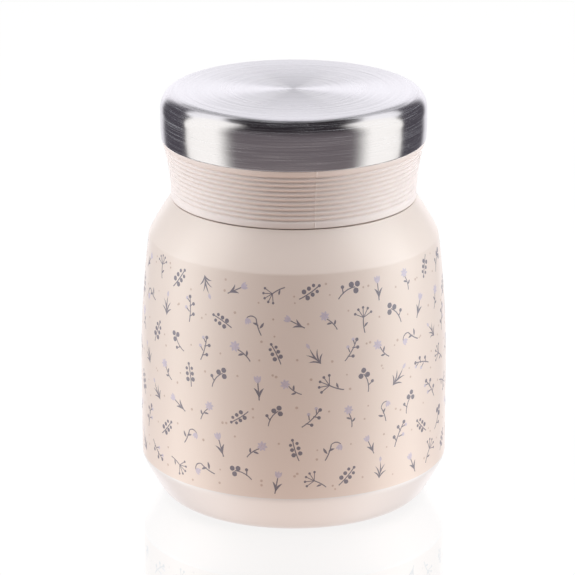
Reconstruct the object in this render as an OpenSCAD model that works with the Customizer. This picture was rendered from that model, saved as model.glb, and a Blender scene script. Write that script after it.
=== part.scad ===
// Vacuum-insulated food jar with an unscrewing lid.
// Millimetres, +Z up. The jar stands on z = 0 with its axis on Z, and the lid is drawn closed.

/* [Jar] */
// Widest diameter of the jar
jar_d = 90; // [82:1:120]
// Height of the closed jar, from the table to the lid's top
jar_h = 122; // [96:1:150]
// Height of the drawn bottom, up to its weld line
bottom_h = 12.7; // [9:0.1:18]
// Straight lip of the drawn bottom under its weld
weld_lip = 0.3; // [0.2:0.05:0.6]
// How far the chamfered bottom draws in at the foot's edge
foot_inset = 10.6; // [6:0.1:14]
// Width of the flat foot ring that the jar stands on
foot_w = 4; // [2:0.1:8]
// Rise of the recessed panel inside the foot ring
foot_rise = 1.6; // [0.8:0.1:3]
// Outward bulge of the chamfered bottom
bottom_bulge = 0.4; // [0:0.05:1]
// Height at which the straight barrel starts to draw in
barrel_straight_h = 38; // [20:1:50]
// How far the barrel has drawn in at the shoulder line
barrel_taper = 2.7; // [0.5:0.1:5]
// Height of the sloping shoulder
shoulder_h = 11.2; // [8:0.1:15]
// Outward bulge of the shoulder
shoulder_bulge = 0.25; // [0:0.05:1]
// Rounding of the shoulder's top edge
shoulder_edge_r = 0.8; // [0.4:0.1:1.5]
// Wall of the outer shell
shell_wall = 0.6; // [0.4:0.05:1]

/* [Vessel] */
// Clear diameter of the mouth
mouth_d = 60.8; // [48:0.2:66]
// Wall of the inner vessel
vessel_wall = 0.5; // [0.4:0.05:0.8]
// Vacuum gap between the vessel and the shell
vacuum_gap = 2.9; // [2:0.1:4]
// Vacuum gap between the vessel's throat and the neck
throat_gap = 1; // [0.6:0.1:2]
// Rounding inside the vessel's bottom corner
vessel_corner_r = 8; // [4:0.5:12]
// Height of the vessel's floor above the table
floor_h = 12; // [10.5:0.1:16]
// How far the vessel's shoulder lies below the shell's shoulder line
vessel_shoulder_drop = 5; // [3:0.5:8]
// Rounding at both ends of the vessel's shoulder
vessel_shoulder_r = 6; // [3:0.5:8]
// Height over which the vessel's wall draws in under its shoulder
vessel_draw_h = 12; // [8:1:20]
// Rounding where the vessel's wall starts to draw in
vessel_draw_r = 30; // [10:5:40]
// Height of the rim above the shoulder's ledge
neck_h = 15.3; // [12:0.1:18]
// Wall of the neck
neck_wall = 0.5; // [0.4:0.05:0.8]
// Width of the neck's welded flange under the ledge
neck_flange = 2.2; // [1.5:0.1:3]

/* [Vacuum fittings] */
// Wall of the middle bottom
middle_wall = 0.6; // [0.4:0.05:1]
// Clearance between the vessel's floor and the middle bottom
middle_gap = 3.4; // [2.8:0.1:4]
// Length of the middle bottom's welded skirt
middle_skirt = 3.5; // [2:0.5:5]
// Diameter of the evacuation hole
vent_d = 2.4; // [1.5:0.1:4]
// Diameter of the dimple that holds the glass bead
dimple_d = 10; // [7:0.5:14]
// Depth of the dimple
dimple_depth = 1.4; // [0.8:0.1:2]
// Diameter of the getter pellet
getter_d = 11; // [8:0.5:14]
// Thickness of the getter pellet
getter_t = 2; // [1:0.1:2.6]
// Distance of the getter pellet from the axis
getter_offset = 18; // [14:0.5:24]
// Thickness of the reflecting foil wrapped round the vessel
foil_t = 0.12; // [0.05:0.01:0.2]
// Margin left bare above and below the foil
foil_margin = 4; // [2:0.5:8]

/* [Lid] */
// Height of the grip ring
ring_h = 17.2; // [13:0.1:22]
// Wall of the grip ring at its waist
ring_wall = 1.9; // [1.6:0.1:3]
// How far the grip ring flares out from its waist to its lip
ring_flare = 2.6; // [1:0.1:4]
// Radial room for the thread between the neck and the grip ring
thread_room = 1.4; // [1:0.1:2]
// Gap between the closed lid and the shoulder's ledge
seat_gap = 0.4; // [0.2:0.05:0.8]
// Number of grooves round the grip ring
groove_n = 10; // [0:1:12]
// Spacing of the grooves
groove_pitch = 1.46; // [1.2:0.02:1.6]
// Width of a groove
groove_w = 0.8; // [0.4:0.05:1]
// Depth of a groove
groove_depth = 0.32; // [0.1:0.02:0.5]
// Thickness of the steel cap
cap_wall = 0.5; // [0.4:0.05:0.8]
// Height of the steel cap
cap_h = 14.1; // [12:0.1:18]
// Rounding of the steel cap's top edge
cap_edge_r = 5.5; // [3:0.1:8]
// How far the steel cap stands proud of the grip ring's lip
cap_overhang = 0.3; // [0:0.05:0.6]
// Depth of the plug below the lid's deck
plug_depth = 10.5; // [8:0.1:14]
// Radial gap between the plug and the mouth
plug_gap = 1.8; // [1.4:0.1:3]
// Wall of the lid's inner mouldings
moulding_wall = 1.6; // [1.2:0.1:2.2]
// Thickness of the seal under the deck
seal_t = 2; // [1.2:0.1:3]
// Length of the seal's collar down the plug
seal_collar = 2.5; // [1:0.1:4]
// Wall of the seal's collar
seal_wall = 0.8; // [0.6:0.1:1]

/* [Motion] */
// Rise of the lid for one turn of the thread
thread_lead = 4; // [3:0.5:5]
// Turns that free the lid
thread_turns = 1.5; // [1:0.25:2]
// Clearance between pieces that move against each other
run_gap = 0.3; // [0.2:0.05:0.5]

/* [Hidden] */
$fn = 180;

STEPS = 12;                                    // points along one curved stretch
POWDER = "#E3D6CE";
RING_PLASTIC = "#DCCEC6";
STEEL = "#C9C8CC";
DARK_STEEL = "#9A989B";
CLEAR_PLASTIC = "#E9E6E1";
SILICONE = "#D8D5D0";
FOAM = "#F2EFE8";
FOIL = "#C58A62";
GLASS = "#7C8B88";

jar_r = jar_d / 2;
foot_r = jar_r - foot_inset;                   // outer edge of the flat foot ring
crease_r = jar_r - barrel_taper;               // radius at the shoulder line
cap_z = jar_h - cap_h;                         // lip of the grip ring, foot of the cap
seat_z = cap_z - ring_h;                       // underside of the grip ring
ledge_z = seat_z - seat_gap;                   // top of the jar's shoulder
crease_z = ledge_z - shoulder_h;               // shoulder line

mouth_r = mouth_d / 2;
throat_r = mouth_r + vessel_wall + throat_gap; // inside of the neck
neck_r = throat_r + neck_wall;                 // outside of the neck, under its thread
rim_z = ledge_z + neck_h;
rim_bead_r = (neck_r - mouth_r) / 2;           // the rim rolls over in a half round
rim_weld_z = rim_z - rim_bead_r - 0.4;         // and its skirt is welded to the neck

bore_r = neck_r + thread_room;                 // inside of the grip ring, outside its thread
waist_r = bore_r + ring_wall;
lip_r = waist_r + ring_flare;
cap_r = lip_r + cap_overhang;
ledge_r = waist_r + 0.3;                       // the shoulder meets the ring just outside its waist

vessel_inset = shell_wall + vacuum_gap + vessel_wall;
vessel_r = jar_r - vessel_inset;
middle_z = floor_h - vessel_wall - middle_gap; // top face of the middle bottom
middle_r = jar_r - shell_wall;                 // its skirt fits the shell's bore

deck_z = rim_z + run_gap + seal_t;             // underside of the lid's deck
deck_top = deck_z + moulding_wall;
plug_r = mouth_r - plug_gap;
plug_z = deck_z - plug_depth;
core_top = jar_h - cap_wall - moulding_wall;   // the cover lies between the core and the cap
well_r = plug_r - moulding_wall;
well_z = plug_z + moulding_wall;
upstand_r = cap_r - cap_wall - 0.15;           // the cap is glued round this wall
upstand_h = 6;
lift_room = thread_lead * thread_turns + run_gap;

// Length 1 vector along v
function unit(v) = v / norm(v);

// Left-hand normal of the way from a to b
function left_of(a, b) = let (d = unit(b - a)) [-d[1], d[0]];

// Path p moved sideways by t, to the left of its direction where t is positive
function beside(p, t) = [
    for (i = [0 : len(p) - 1])
        let (
            n0 = left_of(p[max(i - 1, 0)], p[max(i, 1)]),
            n1 = left_of(p[min(i, len(p) - 2)], p[min(i + 1, len(p) - 1)]),
            m = unit(n0 + n1)
        )
        p[i] + m * t / (m * n0)
];

// Line from a to b that bulges by sag to its right, without its first point
function bow(a, b, sag, n = STEPS) = [
    for (i = [1 : n]) let (t = i / n) a + (b - a) * t - left_of(a, b) * 4 * sag * t * (1 - t)
];

// Curve from a to b with control point c, without its first point
function bend(a, c, b, n = STEPS) = [
    for (i = [1 : n]) let (t = i / n) a * (1 - t) * (1 - t) + c * 2 * t * (1 - t) + b * t * t
];

// Arc of radius r about c from angle a0 to a1, with both ends
function arc(c, r, a0, a1, n = STEPS) = [
    for (i = [0 : n]) let (a = a0 + (a1 - a0) * i / n) c + r * [cos(a), sin(a)]
];

// Path through corners [x, z, rounding], each rounded by its own radius
function rounded(corners) = [
    for (i = [0 : len(corners) - 1])
        let (
            b = [corners[i][0], corners[i][1]],
            r = corners[i][2],
            inner = i > 0 && i < len(corners) - 1 && r > 0,
            p = corners[max(i - 1, 0)],
            q = corners[min(i + 1, len(corners) - 1)],
            u = inner ? unit([p[0], p[1]] - b) : [0, 1],
            v = inner ? unit([q[0], q[1]] - b) : [1, 0],
            half = acos(u * v) / 2,
            c = b + unit(u + v) * r / sin(half),
            s = b + u * r / tan(half) - c,
            e = b + v * r / tan(half) - c,
            turn = atan2(s[0] * e[1] - s[1] * e[0], s * e),
            a0 = atan2(s[1], s[0])
        )
        each (inner ? arc(c, r, a0, a0 + turn) : [b])
];

// Sheet of thickness t laid to the left of path p, turned about Z
module spun_sheet(p, t) {
    back = beside(p, t);
    rotate_extrude()
        polygon(concat(p, [for (i = [len(p) - 1 : -1 : 0]) [max(back[i][0], 0), back[i][1]]]));
}

// Flat ring from radius r0 to r1 and height z0 to z1
module ring(r0, r1, z0, z1) {
    rotate_extrude() translate([r0, z0]) square([r1 - r0, z1 - z0]);
}

// Outside of the drawn bottom: foot, rounded edge, bulging chamfer, straight lip at the weld
chamfer_foot = [foot_r + foot_inset * 0.55, bottom_h * 0.25];
chamfer_top = [jar_r, bottom_h - weld_lip];
chamfer_way = unit(bow(chamfer_foot, chamfer_top, bottom_bulge)[0] - chamfer_foot);
foot_control = [chamfer_foot[0] - chamfer_way[0] * chamfer_foot[1] / chamfer_way[1], 0];
panel_r = foot_r - foot_w;
bottom_path = concat(
    rounded([
        [0, foot_rise, 0],
        [panel_r - foot_rise, foot_rise, 1],
        [panel_r, 0, 1],
        [foot_r, 0, 0]
    ]),
    bend([foot_r, 0], foot_control, chamfer_foot),
    bow(chamfer_foot, chamfer_top, bottom_bulge),
    [[jar_r, bottom_h]]
);

module outer_bottom() {
    color(POWDER) spun_sheet(bottom_path, shell_wall);
}

// Radius of the barrel at height z, which draws in as a parabola above its straight part
function barrel_r(z) =
    let (t = max(z - barrel_straight_h, 0) / (crease_z - barrel_straight_h))
    jar_r - barrel_taper * t * t;

// Outside of the shell: barrel, shoulder line, shoulder, rolled edge, ledge
barrel_path = [
    for (i = [0 : STEPS])
        let (z = barrel_straight_h + (crease_z - barrel_straight_h) * i / STEPS)
        [barrel_r(z), z]
];
shoulder_path = concat(
    bow([crease_r, crease_z], [ledge_r, ledge_z - shoulder_edge_r], shoulder_bulge),
    bend([ledge_r, ledge_z - shoulder_edge_r], [ledge_r - 0.25, ledge_z],
        [ledge_r - shoulder_edge_r, ledge_z], 6),
    [[neck_r, ledge_z]]
);

module outer_shell() {
    color(POWDER)
        spun_sheet(concat([[jar_r, bottom_h]], barrel_path, shoulder_path), shell_wall);
}

module middle_bottom() {
    dimple_r = dimple_d / 2;
    top = rounded([
        [vent_d / 2, middle_z + dimple_depth, 0],
        [dimple_r, middle_z + dimple_depth, 0.8],
        [dimple_r + dimple_depth, middle_z, 0.8],
        [vessel_r - vessel_corner_r, middle_z, 3],
        [middle_r - middle_wall, bottom_h + 1.5, 1.5],
        [middle_r - middle_wall, bottom_h + 1.5 + middle_skirt, 0]
    ]);
    color(DARK_STEEL) spun_sheet(top, -middle_wall);
}

// The glass bead fills the dimple from below and plugs the evacuation hole
module seal_bead() {
    bead_r = dimple_d / 2 - 1;
    top = middle_z + dimple_depth - middle_wall;
    color(GLASS) {
        translate([0, 0, top - dimple_depth * 0.8])
            cylinder(h = dimple_depth * 0.8, r1 = bead_r * 0.8, r2 = bead_r);
        translate([0, 0, top]) cylinder(h = middle_wall * 0.8, d = vent_d);
    }
}

module getter() {
    color(DARK_STEEL) translate([getter_offset, 0, middle_z]) cylinder(h = getter_t, d = getter_d);
}

// Inside of the vessel's wall: bottom weld, wall, drawn shoulder, throat
vessel_top = crease_z - vessel_shoulder_drop;
draw_z = vessel_top - vessel_draw_h;
weld_z = floor_h + vessel_corner_r;
throat_z = ledge_z - 3;
wall_path = rounded([
    [vessel_r, weld_z, 0],
    [vessel_r, draw_z, vessel_draw_r],
    [barrel_r(vessel_top) - vessel_inset, vessel_top, vessel_shoulder_r],
    [mouth_r, throat_z, vessel_shoulder_r / 2],
    [mouth_r, rim_z - rim_bead_r, 0]
]);

module inner_wall() {
    rim = arc([mouth_r + rim_bead_r, rim_z - rim_bead_r], rim_bead_r, 180, 0);
    path = concat([for (i = [0 : len(wall_path) - 2]) wall_path[i]], rim, [[neck_r, rim_weld_z]]);
    color(STEEL) spun_sheet(path, -vessel_wall);
}

module inner_bottom() {
    corner = rounded([
        [0, floor_h, 0],
        [vessel_r, floor_h, vessel_corner_r],
        [vessel_r, weld_z, 0]
    ]);
    color(STEEL) spun_sheet([for (i = [0 : len(corner) - 2]) corner[i]], -vessel_wall);
}

module radiation_foil() {
    inside = vessel_r + vessel_wall;
    color(FOIL)
        ring(inside, inside + foil_t, weld_z + foil_margin, draw_z - foil_margin);
}

// Neck: flange welded under the ledge, then the tube that carries the thread
module threaded_neck() {
    flange_z = ledge_z - shell_wall;
    color(STEEL) {
        ring(throat_r, neck_r + neck_flange, flange_z - neck_wall, flange_z);
        ring(throat_r, neck_r, flange_z, rim_weld_z);
    }
}

module steel_cap() {
    top = rounded([[cap_r, cap_z, 0], [cap_r, jar_h, cap_edge_r], [0, jar_h, 0]]);
    color(STEEL) spun_sheet(top, cap_wall);
}

// Outside of the grip ring at height z above its underside
function flank(z) = waist_r + ring_flare * pow(z / ring_h, 2);

// Grooves spread over the flank, the same plain band above and below them
groove_z0 = (ring_h - (groove_n - 1) * groove_pitch) / 2;
GROOVE_STEPS = 6;
flank_path = [
    [flank(0), seat_z],
    for (g = [0 : groove_n - 1], i = [0 : GROOVE_STEPS])
        let (
            t = i / GROOVE_STEPS,
            z = groove_z0 + g * groove_pitch + (t - 0.5) * groove_w
        )
        [flank(z) - groove_depth * (1 - cos(360 * t)) / 2, seat_z + z],
    [flank(ring_h), cap_z]
];

module grip_ring() {
    body = concat(
        flank_path,
        [
            [upstand_r, cap_z],
            [upstand_r, cap_z + upstand_h],
            [upstand_r - moulding_wall, cap_z + upstand_h],
            [upstand_r - moulding_wall, deck_top],
            [plug_r + run_gap, deck_top],
            [plug_r + run_gap, deck_z],
            [bore_r, deck_z],
            [bore_r, seat_z]
        ]
    );
    color(RING_PLASTIC) rotate_extrude() polygon(body);
}

// Plug: closed floor, wall, and the flange that is welded on the deck
module lid_core() {
    flange_r = upstand_r - moulding_wall - run_gap;
    outline = concat(
        [[0, plug_z]],
        rounded([[0, plug_z, 0], [plug_r, plug_z, 2], [plug_r, deck_top, 0]]),
        [
            [flange_r, deck_top],
            [flange_r, deck_top + moulding_wall],
            [plug_r, deck_top + moulding_wall],
            [plug_r, core_top],
            [well_r, core_top],
            [well_r, well_z],
            [0, well_z]
        ]
    );
    color(CLEAR_PLASTIC) rotate_extrude() polygon([for (i = [1 : len(outline) - 1]) outline[i]]);
}

// Cover: closes the plug and bears on the underside of the cap's flat top
module core_cover() {
    cover_r = min(plug_r + 1.5, cap_r - cap_edge_r - 1);
    color(CLEAR_PLASTIC) {
        ring(0, cover_r, core_top, core_top + moulding_wall);
        ring(well_r - 2, well_r - 0.1, core_top - 1.5, core_top);
    }
}

// Foam puck at the top of the plug's well, with an air gap below it
module lid_insulation() {
    color(FOAM)
        translate([0, 0, well_z + lift_room])
            cylinder(h = core_top - 1.5 - run_gap - well_z - lift_room, r = well_r - run_gap);
}

// Seal: flat washer under the deck, over the rim, with a collar round the plug
module lid_seal() {
    inside = plug_r + run_gap;
    color(SILICONE)
        rotate_extrude()
            polygon([
                [inside, deck_z - seal_t - seal_collar],
                [inside + seal_wall, deck_z - seal_t - seal_collar],
                [inside + seal_wall, deck_z - seal_t],
                [neck_r + 0.4, deck_z - seal_t],
                [neck_r + 0.4, deck_z],
                [inside, deck_z]
            ]);
}

outer_shell();
outer_bottom();
middle_bottom();
seal_bead();
getter();
radiation_foil();
inner_wall();
inner_bottom();
threaded_neck();
steel_cap();
grip_ring();
lid_core();
core_cover();
lid_insulation();
lid_seal();
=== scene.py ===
"""Looks of the insulated food jar: coated shell, printed motifs, ribbed ring, brushed cap, steel inside.

Lengths are millimetres in the classes, and become metres where a mesh is made. The jar's axis is Z.
"""

import logging
import math
from dataclasses import dataclass
from enum import Enum

import bpy
import numpy as np
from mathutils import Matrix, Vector


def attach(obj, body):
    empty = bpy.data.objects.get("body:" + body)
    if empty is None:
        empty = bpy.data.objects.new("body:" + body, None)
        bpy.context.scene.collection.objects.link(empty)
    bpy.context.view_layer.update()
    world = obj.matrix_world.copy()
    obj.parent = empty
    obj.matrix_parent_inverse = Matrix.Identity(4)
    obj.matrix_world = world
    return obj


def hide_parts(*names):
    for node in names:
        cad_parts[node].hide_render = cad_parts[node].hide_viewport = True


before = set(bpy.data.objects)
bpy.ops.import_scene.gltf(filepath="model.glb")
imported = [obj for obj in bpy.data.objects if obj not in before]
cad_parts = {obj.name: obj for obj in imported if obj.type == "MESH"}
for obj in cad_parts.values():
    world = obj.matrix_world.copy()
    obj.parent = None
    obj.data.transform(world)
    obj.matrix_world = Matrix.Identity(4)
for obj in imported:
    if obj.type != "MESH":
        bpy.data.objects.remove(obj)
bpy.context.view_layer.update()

log = logging.getLogger("jar")

MM = 0.001
TURN = 2.0 * math.pi
TINY = 1e-5  # lengths under this are none
SHARP = math.radians(38.0)  # edges that turn more than this aren't shaded smooth
WHITE = (1.0, 1.0, 1.0)

Array = np.ndarray
Object = bpy.types.Object
Material = bpy.types.Material
Socket = bpy.types.NodeSocket
Inputs = dict[str | int, object]
Constants = tuple[tuple[str, object], ...]
Pair = tuple[float, float]
Colour = tuple[float, float, float]


class Body(Enum):
    """Bodies of the record that new pieces ride on."""

    JAR = "jar"
    RISER = "lid_riser"
    LID = "lid"


class Slot(Enum):
    """Material slots of the record, given for each new piece."""

    POWDER_COAT = "powder_coat"
    POLISHED_STEEL = "polished_steel"
    BRUSHED_STEEL = "brushed_steel"
    GRIP_PLASTIC = "grip_plastic"
    INNER_PLASTIC = "inner_plastic"
    SILICONE = "seal_silicone"


# ---- profiles


def smooth(share: Array) -> Array:
    """Smooth step: 3 s^2 - 2 s^3 of a share s held between 0 and 1."""
    held = np.clip(share, 0.0, 1.0)
    return held**2 * (3.0 - 2.0 * held)


def hump(phase: Array) -> Array:
    """Raised cosine: 1 where the phase is 0, and nothing half a turn from there."""
    return 0.5 * (1.0 + np.cos(phase))


def point(radius: float, height: float) -> Array:
    """One point of a profile."""
    return np.array([radius, height], dtype=float)


def points(radius: Array | float, height: Array) -> Array:
    """Points of a profile from their radii and heights."""
    return np.stack(np.broadcast_arrays(radius, height), axis=1)


def circle(angle: Array) -> Array:
    """Points of the unit circle at given angles."""
    return points(np.cos(angle), np.sin(angle))


def path(*parts: Array) -> Array:
    """One profile from points and stretches of points, in order."""
    return np.vstack([np.atleast_2d(part) for part in parts])


def bend(start: Array, control: Array, end: Array, steps: int = 16) -> Array:
    """Curve from start to end that leaves and arrives along the lines through control.

    Formula: the quadratic Bezier curve, (1 - t)^2 start + 2 t (1 - t) control + t^2 end.

    Args:
        start: first point, which is left out of the result.
        control: where the two end tangents meet.
        end: last point.
        steps: number of points.

    Returns:
        Points along the curve.
    """
    t = np.linspace(0.0, 1.0, steps + 1)[1:, None]
    return start * (1.0 - t) ** 2 + control * 2.0 * t * (1.0 - t) + end * t**2


def bow(start: Array, end: Array, sag: float) -> Array:
    """Line that bulges to its right: a bend whose control lies twice the sag from its middle."""
    way = 2.0 * sag * (end - start) / np.linalg.norm(end - start)
    return bend(start, (start + end) / 2.0 + point(way[1], -way[0]), end, steps=40)


def rounded(*corners: tuple[float, float, float], steps: int = 8) -> Array:
    """Path through corners, each rounded by an arc that touches both of its sides.

    Formula: the arc's centre lies on the corner's bisector, at the rounding over the sine of half
    the corner's angle, and the arc runs between the two points where it touches.

    Args:
        corners: radius, height and rounding of each corner. The first and the last stay sharp.
        steps: segments of each arc.

    Returns:
        Points of the path.
    """
    places = np.array(corners, dtype=float)[:, :2]
    parts = [places[0]]
    for before, here, after, corner in zip(places, places[1:], places[2:], corners[1:]):
        radius = corner[2]
        if radius <= 0.0:
            parts.append(here)
            continue
        back = (before - here) / np.linalg.norm(before - here)
        ahead = (after - here) / np.linalg.norm(after - here)
        half = math.acos(float(np.clip(back @ ahead, -1.0, 1.0))) / 2.0
        middle = (back + ahead) / np.linalg.norm(back + ahead)
        centre = here + middle * radius / math.sin(half)
        first = here + back * radius / math.tan(half) - centre
        last = here + ahead * radius / math.tan(half) - centre
        turn = math.atan2(first[0] * last[1] - first[1] * last[0], float(first @ last))
        angle = math.atan2(first[1], first[0]) + turn * np.linspace(0.0, 1.0, steps + 1)
        parts.append(centre + radius * circle(angle))
    return path(*parts, places[-1])


def sheet(line: Array, thickness: float) -> Array:
    """Closed profile of a sheet that lies to the left of a path, with mitred corners.

    Formula: each point of the far side lies along the mean of the normals of the two segments that
    meet there, at the thickness over the cosine of half the turn.

    Args:
        line: points of the path.
        thickness: how far the other side lies to its left, or to its right if negative.

    Returns:
        Points of the profile, with none across the axis.
    """
    way = np.diff(line, axis=0)
    way /= np.linalg.norm(way, axis=1, keepdims=True)
    left = points(-way[:, 1], way[:, 0])
    before = np.vstack([left[:1], left])
    mean = before + np.vstack([left, left[-1:]])
    mean /= np.linalg.norm(mean, axis=1, keepdims=True)
    moved = line + mean * thickness / np.sum(mean * before, axis=1, keepdims=True)
    moved[:, 0] = np.maximum(moved[:, 0], 0.0)
    return path(line, moved[::-1])


def supported(line: Array, near: float = 0.12, far: float = 1.6) -> Array:
    """Closed profile with more points on its long segments, so that shading stays true at corners.

    Formula: a segment over the far distance gets one point at the near distance from each end,
    and points between them no more than the far distance apart.

    Args:
        line: points of the profile, whose last joins its first.
        near: distance of the first and the last added point from a segment's ends.
        far: greatest distance between the others.

    Returns:
        Points of the denser profile.
    """
    parts = []
    for start, end in zip(line, np.roll(line, -1, axis=0)):
        length = float(np.linalg.norm(end - start))
        shares = np.zeros(1)
        if length > far:
            count = math.ceil((length - 2.0 * near) / far) + 1
            shares = np.append(shares, np.linspace(near, length - near, count) / length)
        if length > TINY:
            parts.append(start + (end - start) * shares[:, None])
    return path(*parts)


# ---- meshes


def link(name: str, data: bpy.types.ID) -> Object:
    """Object of its own in the scene.

    Args:
        name: its name.
        data: its mesh, lamp or camera.

    Returns:
        The object, at the origin.
    """
    piece = bpy.data.objects.new(name, data)
    bpy.context.scene.collection.objects.link(piece)
    return piece


def azimuths(count: int, *lines: float) -> Array:
    """Azimuths all round, packed closer about given lines.

    Formula: even shares of a full turn, and equal steps across a narrow strip about each line.

    Args:
        count: number of even azimuths.
        lines: azimuths, in radians, that get a strip of closer ones about them.

    Returns:
        Azimuths from 0 up to a full turn, in order.
    """
    strip, steps = 0.012, 13
    even = np.arange(count) * TURN / count
    packed = [(line + np.linspace(-strip, strip, steps)) % TURN for line in lines]
    return np.unique(np.round(np.concatenate([even, *packed]), 6))


def make_mesh(name: str, places: Array, faces: list[list[int]]) -> Object:
    """Mesh object at the origin, smooth but for its sharp corners.

    Args:
        name: name of the piece.
        places: vertices, in metres.
        faces: vertex numbers of each face, anticlockwise seen from outside.

    Returns:
        The object, linked to the scene.
    """
    mesh = bpy.data.meshes.new(name)
    mesh.from_pydata(places.tolist(), [], faces)
    mesh.polygons.foreach_set("use_smooth", np.ones(len(mesh.polygons), dtype=bool))
    mesh.set_sharp_from_angle(angle=SHARP)
    mesh.validate()
    return link(name, mesh)


def skin(name: str, radius: Array, height: Array, around: Array) -> Object:
    """Closed surface of rings about Z.

    Formula: point (i, j) lies at radius[i, j] from the axis, at azimuth around[j] and at
    height[i, j]. The last ring joins the first. A ring with no radius is one vertex, and
    the strip between two such rings has no faces.

    Args:
        name: name of the piece.
        radius: distances from the axis, rings by azimuths.
        height: heights, the same shape or one column.
        around: azimuths, in radians.

    Returns:
        The object.
    """
    radius, height = np.broadcast_arrays(radius + 0.0 * around, height)
    spots = np.stack([radius * np.cos(around), radius * np.sin(around), height], axis=-1)
    index = np.arange(radius.size).reshape(radius.shape)
    pole = radius.max(axis=1) < TINY
    index[pole] = index[pole][:, :1]
    over = np.roll(index, -1, axis=0)
    faces = np.stack([index, np.roll(index, -1, axis=1), np.roll(over, -1, axis=1), over], axis=-1)
    pole_over = np.roll(pole, -1)
    quads = faces[~pole & ~pole_over].reshape(-1, 4)
    fans = [faces[~pole & pole_over][..., [0, 1, 3]], faces[pole & ~pole_over][..., [0, 2, 3]]]
    threes = np.concatenate([fan.reshape(-1, 3) for fan in fans])
    used, packed = np.unique(np.concatenate([quads.ravel(), threes.ravel()]), return_inverse=True)
    split = quads.size
    listed = packed[:split].reshape(-1, 4).tolist() + packed[split:].reshape(-1, 3).tolist()
    return make_mesh(name, spots.reshape(-1, 3)[used] * MM, listed)


def spun(name: str, profile: Array, count: int = 240) -> Object:
    """Piece from a closed anticlockwise profile turned about Z, with a count of segments."""
    line = supported(profile)
    return skin(name, line[:, :1], line[:, 1:], azimuths(count))


def present(piece: Object, finish: Material, body: Body, slot: Slot, *nodes: str) -> None:
    """Give a piece its finish and its body, and hide the nodes that it stands for.

    Args:
        piece: the new object.
        finish: its material.
        body: the body that it moves with.
        slot: the record's material slot; not used.
        nodes: the nodes that it replaces, if any.
    """
    piece.data.materials.append(finish)
    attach(piece, body.value)
    if nodes:
        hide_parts(*nodes)
    log.info("%s on %s, %d faces", piece.name, body.value, len(piece.data.polygons))


def dress(node: str, finish: Material) -> None:
    """Give a carried-over node a better material in place of its plain one.

    Args:
        node: name of the node.
        finish: its new material.
    """
    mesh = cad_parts[node].data
    mesh.materials.clear()
    mesh.materials.append(finish)
    log.info("%s dressed in %s", node, finish.name)


# ---- node trees


class Graph:
    """Node tree of a material or a world, with short calls that add a node and join it up."""

    def __init__(self, block: bpy.types.ID) -> None:
        """Start an empty tree.

        Args:
            block: the material or the world.
        """
        block.use_nodes = True
        self.block = block
        self.tree = block.node_tree
        self.tree.nodes.clear()

    def add(self, kind: str, inputs: Inputs | None = None, **settings: object) -> bpy.types.Node:
        """Add a node.

        Args:
            kind: the node's type, without its ShaderNode prefix.
            inputs: sockets or nodes to join and constants to set, by the input's name or number.
            settings: the node's own properties.

        Returns:
            The node.
        """
        node = self.tree.nodes.new("ShaderNode" + kind)
        for name, value in settings.items():
            setattr(node, name, value)
        for name, value in (inputs or {}).items():
            if isinstance(value, bpy.types.Node):
                value = value.outputs[0]
            if isinstance(value, Socket):
                self.tree.links.new(value, node.inputs[name])
            else:
                node.inputs[name].default_value = value
        return node

    def place(self) -> Socket:
        """Object coordinates, in metres."""
        return self.add("TexCoord").outputs["Object"]

    def maths(self, operation: str, *values: object) -> Socket:
        """Result of one operation on numbers."""
        return self.add("Math", dict(enumerate(values)), operation=operation).outputs[0]

    def vectors(self, operation: str, *values: object) -> Socket:
        """Result of one operation on vectors."""
        node = self.add("VectorMath", dict(enumerate(values)), operation=operation)
        return node.outputs["Value" if operation == "LENGTH" else "Vector"]

    def mix(self, share: Socket | float, first: Socket | float, second: Socket | float) -> Socket:
        """Number that lies between two others."""
        return self.add("Mix", {0: share, 2: first, 3: second}).outputs[0]

    def noise(self, vector: Socket, scale: float, detail: float = 2.0) -> Socket:
        """Noise between 0 and 1 with a given number of cells to the metre."""
        return self.add("TexNoise", {"Vector": vector, "Scale": scale, "Detail": detail}).outputs[0]

    def between(self, value: Socket, to: Pair, of: Pair = (0.3, 0.7)) -> Socket:
        """Number carried from one range into another."""
        return self.add("MapRange", dict(enumerate((value, *of, *to)))).outputs[0]

    def tones(self, factor: Socket, colour: Colour, shades: Pair) -> Socket:
        """Colour that runs between two shades of itself, given as factors of its brightness."""
        low, high = ((*(min(1.0, part * shade) for part in colour), 1.0) for shade in shades)
        return self.add("Mix", {0: factor, 6: low, 7: high}, data_type="RGBA").outputs[2]

    def bump(self, height: Socket, depth: float, under: Socket | None = None) -> Socket:
        """Normal of a surface with fine relief.

        Args:
            height: relief between 0 and 1.
            depth: depth of the relief, in millimetres.
            under: normal of the coarser relief that this one lies on.

        Returns:
            The normal.
        """
        inputs = {"Height": height, "Distance": depth * MM, "Strength": 1.0}
        if under is not None:
            inputs["Normal"] = under
        return self.add("Bump", inputs).outputs[0]

    def principled(self, inputs: Inputs) -> Material:
        """Finished material, its tree closed with a Principled shader."""
        self.add("OutputMaterial", {"Surface": self.add("BsdfPrincipled", inputs)})
        return self.block


@dataclass(frozen=True)
class Grain:
    """Noise of a finish: cells to the metre, detail, and depth of its relief in millimetres."""

    scale: float
    detail: float = 2.0
    depth: float = 0.0


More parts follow.
